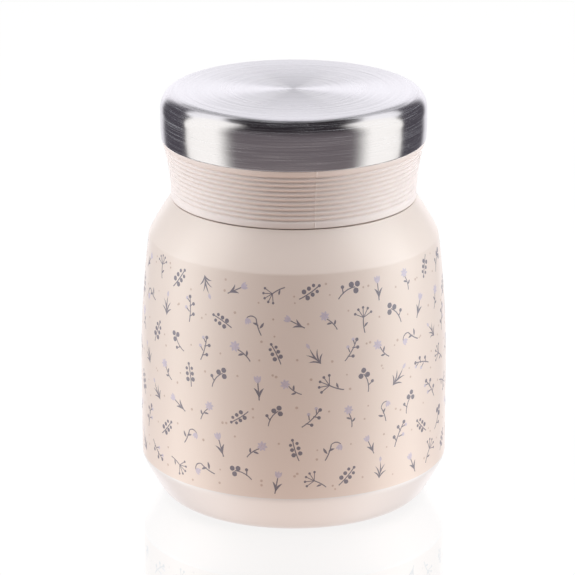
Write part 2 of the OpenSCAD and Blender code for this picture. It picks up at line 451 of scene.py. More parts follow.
@dataclass(frozen=True)
class Finish:
    """Finish whose tone, roughness and relief vary with noise in the piece's own space.

    The noise of the tone takes the colour from its first shade to its second. Each grain is relief
    on the one before it. Roughness follows the last grain with fine_rough, or else the tone.
    """

    colour: Colour
    shades: Pair
    rough: Pair
    tone: Grain
    grains: tuple[Grain, ...]
    fine_rough: bool = False
    constants: Constants = ()

    def build(self, name: str) -> Material:
        """Make the material.

        Args:
            name: its name.

        Returns:
            The material.
        """
        graph = Graph(bpy.data.materials.new(name))
        place = graph.place()
        tone = graph.noise(place, self.tone.scale, self.tone.detail)
        fine, normal = tone, None
        for grain in self.grains:
            fine = graph.noise(place, grain.scale, grain.detail)
            normal = graph.bump(fine, grain.depth, normal)
        inputs = {
            "Base Color": graph.tones(tone, self.colour, self.shades),
            "Roughness": graph.between(fine if self.fine_rough else tone, self.rough),
            "Normal": normal,
        }
        return graph.principled(inputs | dict(self.constants))


SATIN_COAT = (("Coat Weight", 0.35), ("Coat IOR", 1.6), ("Coat Roughness", 0.24))


@dataclass(frozen=True)
class PowderCoat(Finish):
    """Satin powder coat: even colour, slight drift, faint orange peel."""

    colour: Colour = (0.705, 0.59, 0.526)
    shades: Pair = (0.985, 1.012)
    rough: Pair = (0.33, 0.39)
    tone: Grain = Grain(28, 3)
    grains: tuple[Grain, ...] = (Grain(900, 2, 0.0016), Grain(3800, 1, 0.0004))
    fine_rough: bool = True
    constants: Constants = (("IOR", 1.55), *SATIN_COAT)


@dataclass(frozen=True)
class Ink(Finish):
    """Printed ink under the same satin finish as the coat, a little uneven in its density."""

    shades: Pair = (0.85, 1.2)
    rough: Pair = (0.38, 0.44)
    tone: Grain = Grain(1500)
    grains: tuple[Grain, ...] = (Grain(900, 2, 0.0016),)
    constants: Constants = (("IOR", 1.5), *SATIN_COAT)


@dataclass(frozen=True)
class MouldedPlastic(Finish):
    """Moulded polypropylene with a fine spark-eroded grain."""

    shades: Pair = (0.98, 1.015)
    rough: Pair = (0.36, 0.45)
    tone: Grain = Grain(45)
    grains: tuple[Grain, ...] = (Grain(420, 2, 0.002), Grain(5200, 2, 0.002))
    fine_rough: bool = True
    constants: Constants = (("IOR", 1.49), ("Specular IOR Level", 0.27))


@dataclass(frozen=True)
class InnerPlastic(MouldedPlastic):
    """Natural polypropylene, a little smoother, that lets some light into it."""

    colour: Colour = (0.78, 0.75, 0.71)
    rough: Pair = (0.34, 0.43)
    constants: Constants = (
        *MouldedPlastic.constants,
        ("Subsurface Weight", 0.15),
        ("Subsurface Radius", (0.9, 0.6, 0.45)),
        ("Subsurface Scale", 0.001),
    )


@dataclass(frozen=True)
class RawMetal(Finish):
    """Mill-finish or sintered metal: patches of tone, and a fine grain."""

    shades: Pair = (0.86, 1.12)
    rough: Pair = (0.32, 0.48)
    tone: Grain = Grain(90, 4)
    grains: tuple[Grain, ...] = (Grain(1200, 3, 0.004),)
    constants: Constants = (("Metallic", 1.0),)


@dataclass(frozen=True)
class Silicone(Finish):
    """Translucent silicone rubber with a faint bloom."""

    colour: Colour = (0.68, 0.65, 0.62)
    shades: Pair = (0.94, 1.05)
    rough: Pair = (0.42, 0.55)
    tone: Grain = Grain(260, 3)
    grains: tuple[Grain, ...] = (Grain(260, 3, 0.004),)
    constants: Constants = (
        ("IOR", 1.41),
        ("Subsurface Weight", 0.5),
        ("Subsurface Radius", (1.0, 0.9, 0.8)),
        ("Subsurface Scale", 0.002),
    )


@dataclass(frozen=True)
class SolderGlass(Finish):
    """Dark glass melted into the dimple, with a few bubbles."""

    colour: Colour = (0.2, 0.24, 0.23)
    shades: Pair = (0.7, 1.4)
    rough: Pair = (0.08, 0.2)
    tone: Grain = Grain(1100, 3)
    grains: tuple[Grain, ...] = (Grain(1100, 3, 0.01),)
    constants: Constants = (("IOR", 1.6),)


@dataclass(frozen=True)
class Foam:
    """Cut closed-cell foam: small round pitted cells, pale at their walls and darker towards each pit's
    middle as painted shade.
    """

    colour: Colour = (0.86, 0.84, 0.79)
    shades: Pair = (0.8, 1.0)
    wall: Pair = (0.1, 0.6)
    cell: float = 0.7
    depth: float = 0.25
    roughness: float = 0.95

    def build(self, name: str) -> Material:
        """Make the material.

        Args:
            name: its name.

        Returns:
            The material.
        """
        graph = Graph(bpy.data.materials.new(name))
        inputs = {"Vector": graph.place(), "Scale": 1.0 / (self.cell * MM)}
        cells = graph.add("TexVoronoi", inputs).outputs["Distance"]
        # painted shade: each cell darkens towards its middle, where the bump makes its pit deepest
        pit_shade = graph.between(cells, (0.0, 1.0), self.wall)
        return graph.principled(
            {
                "Base Color": graph.tones(pit_shade, self.colour, self.shades),
                "Roughness": self.roughness,
                "Normal": graph.bump(cells, self.depth),
            }
        )


@dataclass(frozen=True)
class SpunSteel:
    """Stainless steel brushed or turned round the axis, with fine lines and broad ripples.

    Above top_z the roughness goes from its centre to its rim value as the radius grows to disc_r,
    and an even haze lies over the steel. Below, only some lines are hazed, up to the bloom. Haze
    is what the steel lacks in metallic. The reaches say how soon lines change round the axis.
    """

    colour: Colour = (0.62, 0.605, 0.625)
    contrast: float = 0.04
    side_rough: float = 0.2
    disc_rough: Pair = (0.36, 0.215)
    disc_r: float = 32.0
    rough_swing: float = 0.012
    top_z: float = 1.0
    top_fade: float = 0.5
    anisotropy: float = 0.92
    rotation: float = 0.25
    line: float = 0.24
    reach: float = 1.6
    depth: float = 0.002
    ripple: float = 1.7
    ripple_reach: float = 0.15
    ripple_depth: float = 0.3
    grain: Grain = Grain(2600, 1)
    grain_share: float = 0.25
    bloom: Pair = (0.0, 0.31)
    bloom_noise: Pair = (0.53, 0.72)
    haze: Pair = (0.15, 0.25)
    haze_noise: Pair = (0.35, 0.65)

    @staticmethod
    def lines(
        graph: Graph, turn: Socket, way: Socket, width: float, reach: float, detail: float
    ) -> Socket:
        """Noise drawn out round the axis.

        Formula: noise on the cosine and sine of the azimuth times the reach, which change slowly,
        and on the way over the lines' width, which changes fast.

        Args:
            graph: the material's tree.
            turn: direction away from the axis.
            way: distance across the lines, in metres.
            width: width of a line, in millimetres.
            reach: number of changes round the axis.
            detail: detail of the noise.

        Returns:
            The noise.
        """
        fast = graph.add("CombineXYZ", {2: graph.maths("MULTIPLY", way, 1.0 / (width * MM))})
        slow = graph.vectors("MULTIPLY", turn, (reach, reach, reach))
        return graph.noise(graph.vectors("ADD", slow, fast), 1.0, detail)

    def build(self, name: str) -> Material:
        """Make the material, its lines counted along the profile by radius less height.

        Args:
            name: its name.

        Returns:
            The material.
        """
        graph = Graph(bpy.data.materials.new(name))
        place = graph.place()
        flat = graph.vectors("MULTIPLY", place, (1.0, 1.0, 0.0))
        radius = graph.vectors("LENGTH", flat)
        height = graph.add("SeparateXYZ", {0: place}).outputs[2]
        turn = graph.vectors("NORMALIZE", flat)
        along = graph.maths("SUBTRACT", radius, height)
        fine = self.lines(graph, turn, along, self.line, self.reach, 2.0)
        broad = self.lines(graph, turn, radius, self.ripple, self.ripple_reach, 1.0)
        grain = graph.noise(place, self.grain.scale, self.grain.detail)
        fleck = graph.mix(self.grain_share, fine, grain)
        top = ((self.top_z - self.top_fade) * MM, self.top_z * MM)
        on_top = graph.between(height, (0.0, 1.0), top)
        bloom = graph.between(fleck, self.bloom, self.bloom_noise)
        bright = graph.mix(on_top, bloom, graph.between(fleck, self.haze, self.haze_noise))
        disc = graph.between(radius, self.disc_rough, (0.0, self.disc_r * MM))
        swing = graph.between(fine, (-self.rough_swing, self.rough_swing))
        shades = (1.0 - self.contrast, 1.0 + self.contrast)
        return graph.principled(
            {
                "Base Color": graph.tones(graph.between(fine, (0.0, 1.0)), self.colour, shades),
                "Metallic": graph.maths("SUBTRACT", 1.0, bright),
                "Roughness": graph.maths("ADD", graph.mix(on_top, self.side_rough, disc), swing),
                "Anisotropic": self.anisotropy,
                "Anisotropic Rotation": self.rotation,
                "Tangent": graph.add("Tangent", direction_type="RADIAL", axis="Z"),
                "Normal": graph.bump(fine, self.depth, graph.bump(broad, self.ripple_depth)),
            }
        )


# ---- the jar


@dataclass
class OuterBody:
    """Coated outside of the jar: drawn bottom, barrel, shoulder line and sloping shoulder."""

    radius: float = 44.98
    wall: float = 0.6
    segments: int = 300
    foot_r: float = 34.4
    foot_w: float = 4.0
    foot_rise: float = 1.6
    foot_round: float = 1.0
    chamfer_r: float = 39.96
    chamfer_z: float = 2.89
    chamfer_bulge: float = 0.07
    fold_z: float = 11.95
    fold_below: float = 1.2
    fold_above: float = 0.6
    weld_z: float = 12.68
    weld_gap: float = 0.05
    straight_h: float = 38.0
    taper: float = 2.7
    barrel_steps: int = 48
    crease_z: float = 79.1
    crease_below: float = 0.36
    shoulder_bulge: float = 0.25
    ledge_r: float = 36.0
    ledge_z: float = 90.14
    ledge_round: float = 0.5
    neck_r: float = 32.4
    coat: PowderCoat = PowderCoat()
    # paler, bluer copy of the powder coat for the drawn bottom: painted light, standing in for the
    # floor's light on the chamfer
    floor_lit_bottom_coat: PowderCoat = PowderCoat((0.72, 0.695, 0.69))

    def lower_line(self) -> Array:
        """Line from the chamfer's foot, bowed a little, with the curve that folds it into the barrel.

        Formula: a bow as far as a little below the fold, then a bend whose control is the fold.

        Returns:
            Points of the line, upwards.
        """
        fold = point(self.radius, self.fold_z)
        chamfer = bow(point(self.chamfer_r, self.chamfer_z), fold, self.chamfer_bulge)
        chamfer = chamfer[np.linalg.norm(chamfer - fold, axis=1) > self.fold_below]
        top = point(self.radius, self.fold_z + self.fold_above)
        return path(chamfer, bend(chamfer[-1], fold, top, steps=14))

    def barrel_radius(self, height: Array | float) -> Array:
        """Radius of the barrel at a height.

        Formula: the full radius, less the taper times the square of the way above the straight
        part, and less what the fold into the chamfer takes off near the bottom.

        Args:
            height: heights, in millimetres.

        Returns:
            Radii.
        """
        way = (np.asarray(height) - self.straight_h) / (self.crease_z - self.straight_h)
        lower = self.lower_line()
        folded = self.radius - np.interp(height, lower[:, 1], lower[:, 0])
        return self.radius - self.taper * np.clip(way, 0.0, None) ** 2 - folded

    def at(self, height: float) -> Array:
        """Point of the barrel at a height."""
        return point(self.barrel_radius(height), height)

    def bottom_line(self) -> Array:
        """Outside of the bottom: recessed panel, foot ring, rounded edge, chamfer up to the weld.

        Formula: straight lines with rounded corners, and a bend that leaves the foot level and
        meets the chamfer along the chamfer's slope.

        Returns:
            Points from the axis outwards and up.
        """
        edge = point(self.chamfer_r, self.chamfer_z)
        lower = self.lower_line()
        way = lower[0] - edge
        control = point(edge[0] - way[0] * edge[1] / way[1], 0.0)
        panel_r = self.foot_r - self.foot_w
        panel = rounded(
            (0, self.foot_rise, 0),
            (panel_r - self.foot_rise, self.foot_rise, self.foot_round),
            (panel_r, 0, self.foot_round),
            (self.foot_r, 0, 0),
        )
        lower = lower[lower[:, 1] < self.weld_z - self.weld_gap]
        return path(panel, bend(panel[-1], control, edge), lower, self.at(self.weld_z))

    def shell_line(self) -> Array:
        """Outside of the shell: barrel, shoulder line, shoulder, rolled edge, ledge.

        Formula: the barrel's radius at even heights, a bend over the shoulder line, a bow up the
        shoulder, and a bend over its edge.

        Returns:
            Points from the weld up and inwards.
        """
        lower = self.lower_line()
        lower = lower[lower[:, 1] > self.weld_z + self.weld_gap]
        heights = np.linspace(self.straight_h, self.crease_z - self.crease_below, self.barrel_steps)
        barrel = points(self.barrel_radius(heights), heights)
        crease = self.at(self.crease_z)
        edge = point(self.ledge_r, self.ledge_z - self.ledge_round)
        shoulder = bow(crease, edge, self.shoulder_bulge)
        turn = bend(barrel[-1], crease, shoulder[1], steps=8)
        corner = point(self.ledge_r - self.ledge_round / 2.0, self.ledge_z)
        lip = bend(edge, corner, point(self.ledge_r - self.ledge_round, self.ledge_z), steps=8)
        ledge = point(self.neck_r, self.ledge_z)
        return path(self.at(self.weld_z), lower, barrel, turn, shoulder[2:], lip, ledge)

    def build(self) -> None:
        """Make and dress both coated pieces."""
        # the bottom wears the paler copy of the coat, which is painted light from the floor
        bottom = spun("coated_bottom", sheet(self.bottom_line(), self.wall), self.segments)
        present(bottom, self.floor_lit_bottom_coat.build("floor_lit_bottom_coat"), Body.JAR, Slot.POWDER_COAT, "outer_bottom")
        shell = spun("coated_shell", sheet(self.shell_line(), self.wall), self.segments)
        present(shell, self.coat.build("powder_coat"), Body.JAR, Slot.POWDER_COAT, "outer_shell")


class InkName(Enum):
    """Inks of the print, each with its colour."""

    LEAF = (0.2, 0.178, 0.205)
    BLOSSOM = (0.52, 0.45, 0.52)
    TAN = (0.53, 0.4, 0.34)


LEAF, BLOSSOM, TAN = InkName


@dataclass(frozen=True)
class Stroke:
    """One drawn mark: a curved line from start to end whose width swells between its ends.

    The taper is 0 for an even width, 0.5 for round ends and 1 for pointed ones.
    """

    ink: InkName
    start: Pair
    end: Pair
    width: float
    sag: float = 0.0
    taper: float = 1.0

    def numbers(self) -> tuple[float, ...]:
        """The mark's seven numbers."""
        return (*self.start, *self.end, self.width, self.sag, self.taper)


def tip(x: float, y: float, angle: float, length: float) -> Pair:
    """End of a line from a foot, at an angle in degrees clockwise from the motif's upright."""
    bearing = math.radians(angle)
    return (x + length * math.sin(bearing), y + length * math.cos(bearing))


def leaf(
    x: float,
    y: float,
    angle: float,
    length: float,
    width: float,
    ink: InkName = LEAF,
    sag: float = 0.06,
) -> Stroke:
    """Almond leaf or petal from a foot, its midline curved by the sag as a share of its length."""
    return Stroke(ink, (x, y), tip(x, y, angle, length), width, sag * length)


def stem(x: float, y: float, angle: float, length: float, sag: float = 0.0, width: float = 0.3) -> Stroke:
    """Thin stem from a foot, curved as a leaf is."""
    return Stroke(LEAF, (x, y), tip(x, y, angle, length), width, sag * length, taper=0.0)


def dot(x: float, y: float, size: float, ink: InkName = LEAF) -> Stroke:
    """Round dot about a point."""
    return Stroke(ink, (x, y - size / 2.0), (x, y + size / 2.0), size, taper=0.5)


class Motif(Enum):
    """Small plants of the print, each about 7 mm high about its middle."""

    DAISY = (
        *(leaf(0, 1.9, 360 * petal / 7, 1.5, 0.72, BLOSSOM) for petal in range(7)),
        dot(0, 1.9, 0.7, TAN),
        stem(-0.2, -3.6, 3, 4.4, 0.08),
        leaf(-0.35, -1.2, 58, 1.7, 0.6),
        leaf(-0.4, -2, -52, 1.6, 0.6),
    )
    UMBEL = (
        *(stem(0, 0.3, angle, 2.3, 0, 0.22) for angle in (-64, -32, 0, 32, 64)),
        *(dot(*tip(0, 0.3, angle, 2.6), 0.72) for angle in (-64, -32, 0, 32, 64)),
        stem(0.3, -3.7, -4, 4.1, 0.05),
        leaf(0.15, -2.2, 46, 1.6, 0.55),
    )
    COIN_LEAVES = (
        *(dot(x, y, size) for y, size in ((-1.5, 1.3), (0.1, 1.15), (1.6, 0.95)) for x in (-0.95, 0.95)),
        stem(0, -3.6, 0, 6.2, 0.03),
        dot(0, 2.9, 0.85),
    )
    BELLFLOWER = (
        *(leaf(1.75, 1.9, angle, 1.9, 0.8, BLOSSOM, 0) for angle in (160, 184, 208)),
        stem(-0.9, -3.5, 2, 4.6, -0.05),
        stem(-0.75, 1.1, 74, 2.6, 0.24),
        leaf(-0.9, -1.6, -52, 2, 0.66),
        leaf(-0.9, -0.9, 50, 1.8, 0.6),
    )
    CLOVER = (
        *(dot(x, y, 1.5) for x, y in ((-1, 1.5), (1, 1.5), (0, 2.9))),
        stem(0.6, -3.4, -8, 5.4, -0.12),
        stem(0.7, -1.6, 62, 1.5),
        dot(2.2, -0.7, 0.95),
    )
    GRASS = (
        leaf(0, -2.9, -42, 3.3, 0.42, sag=-0.14),
        leaf(0, -2.9, -17, 4.6, 0.42, sag=-0.1),
        leaf(0, -2.9, 6, 5.2, 0.42, sag=0.06),
        leaf(0, -2.9, 28, 4.2, 0.42, sag=0.12),
        leaf(0, -2.9, 50, 2.9, 0.42, sag=0.16),
        leaf(0.55, 2.1, 8, 1.7, 0.85, BLOSSOM),
    )
    TULIP = (
        *(leaf(0, 0.8, angle, 2.1, 0.85, BLOSSOM, 0) for angle in (-24, 24, 0)),
        leaf(0, -3, -24, 2.9, 0.6, sag=-0.12),
        leaf(0, -3.3, 27, 3.2, 0.6, sag=0.12),
        stem(0, -3.6, 0, 4.5),
    )
    BERRY_TWIG = (
        stem(-0.7, -3.5, 12, 6.6, 0.05),
        stem(-0.4, -2, -48, 1.4),
        stem(-0.1, -0.7, 66, 1.4),
        stem(0.2, 0.7, -44, 1.4),
        stem(0.45, 1.9, 60, 1.2),
        dot(-1.65, -0.9, 1),
        dot(1.4, 0, 1, BLOSSOM),
        dot(-1, 1.85, 1),
        dot(1.7, 2.6, 0.95, BLOSSOM),
        dot(0.75, 3.3, 1.05),
    )


@dataclass
class DitsyPrint:
    """Small scattered flowers, leaves and dots, printed all round the barrel.

    A motif moves by up to the jitter, turns by up to the tilt, and may hang head down. The gap is
    where dots lie on the way to the next motif, and the film is how proud of the coat the ink is.
    """

    body: OuterBody
    columns: int = 26
    rows: int = 7
    heights: Pair = (18.6, 74.2)
    jitter: float = 0.9
    tilt: float = 1.15
    head_down: float = 0.12
    scales: Pair = (0.98, 1.16)
    gap: Pair = (0.38, 0.62)
    dot_drop: float = 3.6
    dot_sizes: Pair = (0.5, 0.85)
    film: float = 0.014
    sunk: float = 0.03
    blunt: float = 0.01
    seed: int = 7
    sections: tuple[float, ...] = (0.0, 0.16, 0.38, 0.62, 0.84, 1.0)

    def marks(self) -> dict[InkName, Array]:
        """Every mark of the print, by ink.

        Formula: motifs stand on a half-drop lattice, moved and turned by seeded random amounts,
        and one or two dots lie in each gap between them.

        Returns:
            For each ink, rows of place, bearing, scale, side and the stroke's own seven numbers.
        """
        draw = np.random.default_rng(self.seed)
        step = TURN * self.body.radius / self.columns
        low, high = self.heights
        drop = (high - low) / (self.rows - 1)
        motifs = list(Motif)
        rows: dict[InkName, list[list[float]]] = {ink: [] for ink in InkName}
        for number in range(self.columns * self.rows):
            row, column = divmod(number, self.columns)
            across, up = draw.uniform(-self.jitter, self.jitter, 2)
            centre = [(column + 0.5 * (row % 2)) * step + across, low + row * drop + up]
            bearing = draw.uniform(-1.0, 1.0) * self.tilt
            bearing += math.pi if draw.random() < self.head_down else 0.0
            scale = draw.uniform(*self.scales)
            side = 1.0 if draw.random() < 0.5 else -1.0
            kind = (column * 2 + row * 3 + int(draw.integers(0, 2))) % len(motifs)
            for mark in motifs[kind].value:
                rows[mark.ink].append([*centre, bearing, scale, side, *mark.numbers()])
            for _ in range(int(draw.integers(1, 3))):
                x = centre[0] + draw.uniform(*self.gap) * step
                y = centre[1] + draw.uniform(-self.dot_drop, self.dot_drop)
                mark = dot(0.0, 0.0, draw.uniform(*self.dot_sizes), TAN)
                rows[mark.ink].append([x, y, 0.0, 1.0, 1.0, *mark.numbers()])
        return {ink: np.array(listed) for ink, listed in rows.items()}

    def slabs(self, name: str, marks: Array) -> Object:
        """Closed thin slabs of ink on the barrel, one for each mark.

        Formula: a mark's midline is its chord with a parabolic sag, and its half width is half the
        width times (4 t (1 - t)) to the power of its taper. Its left and right edges are
        turned by the bearing, carried to the motif's place, and wrapped round the barrel. The top
        lies one film above the coat, and the underside lies in it.

        Args:
            name: name of the piece.
            marks: rows from marks().

        Returns:
            The object.
        """
        t = np.array(self.sections)
        place, bearing, scale, side = np.split(marks[:, :5], [2, 3, 4], axis=1)
        start, end = marks[:, None, 5:7], marks[:, None, 7:9]
        width, sag, power = np.split(marks[:, 9:], 3, axis=1)
        chord = end - start
        length = np.linalg.norm(chord, axis=2, keepdims=True)
        left = np.stack([-chord[..., 1], chord[..., 0]], axis=-1) / length
        middle = start + chord * t[:, None] + left * (sag * 4.0 * t * (1.0 - t))[..., None]
        swell = np.maximum(4.0 * t * (1.0 - t), self.blunt) ** power
        half = (0.5 * width * swell)[..., None] * left
        flat = np.stack([middle - half, middle + half], axis=2) * scale[..., None, None]
        flat[..., 0] *= side[..., None]
        cos, sin = np.cos(bearing)[..., None], np.sin(bearing)[..., None]
        across = place[:, 0, None, None] + flat[..., 0] * cos + flat[..., 1] * sin
        up = place[:, 1, None, None] - flat[..., 0] * sin + flat[..., 1] * cos
        angle = across / self.body.radius
        spots = []
        for lift in (self.film, -self.sunk):
            reach = self.body.barrel_radius(up) + lift
            spots.append(np.stack([reach * np.cos(angle), reach * np.sin(angle), up], axis=-1))
        grid = np.stack(spots, axis=3).reshape(len(marks), -1, 3)
        numbers = self.slab_faces(len(t)) + (np.arange(len(marks)) * grid.shape[1])[:, None, None]
        mirrored = marks[:, 4] < 0.0
        numbers[mirrored] = numbers[mirrored][:, :, ::-1]
        return make_mesh(name, grid.reshape(-1, 3) * MM, numbers.reshape(-1, 4).tolist())

    @staticmethod
    def slab_faces(sections: int) -> Array:
        """Faces of one slab whose vertices run by section, then edge, then top and underside.

        Args:
            sections: number of sections along the mark.

        Returns:
            Four vertex numbers for each face.
        """
        base = 4 * np.arange(sections - 1)[:, None]
        last = 4 * (sections - 1)
        around = ([0, 4, 6, 2], [1, 3, 7, 5], [0, 1, 5, 4], [2, 6, 7, 3])
        ends = [[0, 2, 3, 1], [last, last + 1, last + 3, last + 2]]
        return np.concatenate([*(base + np.array(face) for face in around), ends])

    def build(self) -> None:
        """Make and dress the print, one piece for each ink."""
        for ink, marks in self.marks().items():
            name = ink.name.lower()
            piece = self.slabs("print_" + name, marks)
            present(piece, Ink(ink.value).build("ink_" + name), Body.JAR, Slot.POWDER_COAT)


@dataclass(frozen=True)
class Thread:
    """Ridge that climbs a round wall from a start in degrees, and runs out at both ends."""

    start_z: float
    start: float
    turns: float
    width: float
    height: float
    lead: float = 4.0
    flank: float = 0.6
    run_out: float = 0.09

    def rise(self, around: Array, level: Array) -> Array:
        """Height of the ridge over the wall.

        Formula: at azimuth a the ridge's centre lies at start_z + lead times the turns gone since
        its start, once for each lap. Across it, the height falls from a flat top to nothing
        as a smooth step, and along it the same step runs it out at both ends.

        Args:
            around: azimuths, in radians.
            level: heights of the wall's rings, in millimetres, as one column.

        Returns:
            Rise of the ridge, rings by azimuths.
        """
        total = np.zeros(np.broadcast(level, around).shape)
        for lap in range(math.ceil(self.turns)):
            gone = ((around - math.radians(self.start)) / TURN) % 1.0 + lap
            offset = np.abs(level - self.start_z - self.lead * gone) / (self.width / 2.0)
            across = smooth((1.0 - offset) / self.flank)
            ends = smooth(np.minimum(gone, self.turns - gone) / self.run_out)
            total = np.maximum(total, self.height * (across * ends))
        return total


@dataclass
class InnerVessel:
    """Steel inside: vessel with its rolled rim, vessel floor, and the neck with its rolled thread."""

    vessel_r: float = 41.0
    mouth_r: float = 30.4
    wall: float = 0.5
    floor_z: float = 12.0
    corner_r: float = 8.0
    draw_z: float = 62.1
    draw_round: float = 30.0
    top_r: float = 38.917
    top_z: float = 74.1
    top_round: float = 6.0
    throat_z: float = 87.3
    throat_round: float = 3.0
    rim_z: float = 105.6
    rim_steps: int = 17
    weld_z: float = 104.2
    throat_r: float = 31.9
    neck_r: float = 32.4
    neck_steps: int = 96
    neck_segments: int = 320
    flange_w: float = 2.2
    flange_z: float = 89.7
    thread: Thread = Thread(start_z=95.4, start=200.0, turns=1.5, width=2.2, height=0.95)
    finish: SpunSteel = SpunSteel(
        (0.62, 0.61, 0.61), disc_rough=(0.28, 0.28), top_z=-1.0, anisotropy=0.35, ripple_depth=0.0
    )

    def vessel_line(self) -> Array:
        """Inside of the vessel from its bottom weld up, over the rolled rim and down to the neck.

        Formula: straight lines with rounded corners, and half a circle over the rim.

        Returns:
            Points of the line.
        """
        bead = (self.neck_r - self.mouth_r) / 2.0
        inside = rounded(
            (self.vessel_r, self.floor_z + self.corner_r, 0),
            (self.vessel_r, self.draw_z, self.draw_round),
            (self.top_r, self.top_z, self.top_round),
            (self.mouth_r, self.throat_z, self.throat_round),
            (self.mouth_r, self.rim_z - bead, 0),
            steps=14,
        )
        middle = point(self.mouth_r + bead, self.rim_z - bead)
        rim = circle(np.linspace(math.pi, 0.0, self.rim_steps)) * bead + middle
        return path(inside[:-1], rim, point(self.neck_r, self.weld_z))

    def floor_line(self) -> Array:
        """Inside of the vessel's floor, out to its weld, where the corner's arc ends upwards.

        Formula: a level line, and the quarter of a circle that turns it up into the wall.

        Returns:
            Points of the line.
        """
        corner = (self.vessel_r, self.floor_z, self.corner_r)
        above = (self.vessel_r, self.floor_z + 2.0 * self.corner_r, 0.0)
        return rounded((0.0, self.floor_z, 0.0), corner, above, steps=20)[:-1]

    def neck(self) -> Object:
        """Neck: a tube with the thread's ridge on its outside, on a flange under the ledge.

        Formula: the ridge's rise is added to the radius of the rings on the outside.

        Returns:
            The object.
        """
        heights = np.linspace(self.flange_z, self.weld_z, self.neck_steps)
        outside = points(self.neck_r, heights)
        flange_r = self.neck_r + self.flange_w
        under = self.flange_z - self.wall
        inside = [(self.throat_r, self.weld_z), (self.throat_r, under)]
        flange = [(flange_r, under), (flange_r, self.flange_z)]
        line = supported(path(outside, inside, flange))
        around = azimuths(self.neck_segments)
        radius = line[:, :1] + np.zeros_like(around)
        radius[: len(outside)] += self.thread.rise(around, heights[:, None])
        return skin("threaded_neck_skin", radius, line[:, 1:], around)

    def build(self) -> None:
        """Make and dress the vessel, its floor and the neck."""
        satin = self.finish.build("satin_steel")
        wall = spun("vessel_wall", sheet(self.vessel_line(), -self.wall)[::-1])
        floor = spun("vessel_floor", sheet(self.floor_line(), -self.wall)[::-1])
        present(wall, satin, Body.JAR, Slot.POLISHED_STEEL, "inner_wall")
        present(floor, satin, Body.JAR, Slot.POLISHED_STEEL, "inner_bottom")
        present(self.neck(), satin, Body.JAR, Slot.POLISHED_STEEL, "threaded_neck")


@dataclass
class VacuumFittings:
    """Sealed parts between the two walls, which keep their own meshes."""

    steel: RawMetal = RawMetal((0.45, 0.44, 0.44))
    bead: SolderGlass = SolderGlass()
    getter: RawMetal = RawMetal(
        (0.2, 0.19, 0.19),
        rough=(0.67, 0.83),
        grains=(Grain(2600, 3, 0.02),),
        constants=(("Metallic", 0.6),),
    )
    foil: RawMetal = RawMetal((0.78, 0.5, 0.36), rough=(0.14, 0.3), grains=(Grain(500, 3, 0.01),))

    def build(self) -> None:
        """Dress the middle bottom, the glass bead, the getter and the foil."""
        dress("middle_bottom", self.steel.build("mill_steel"))
        dress("seal_bead", self.bead.build("solder_glass"))
        dress("getter", self.getter.build("sintered_alloy"))
        dress("radiation_foil", self.foil.build("bright_foil"))


# ---- the lid


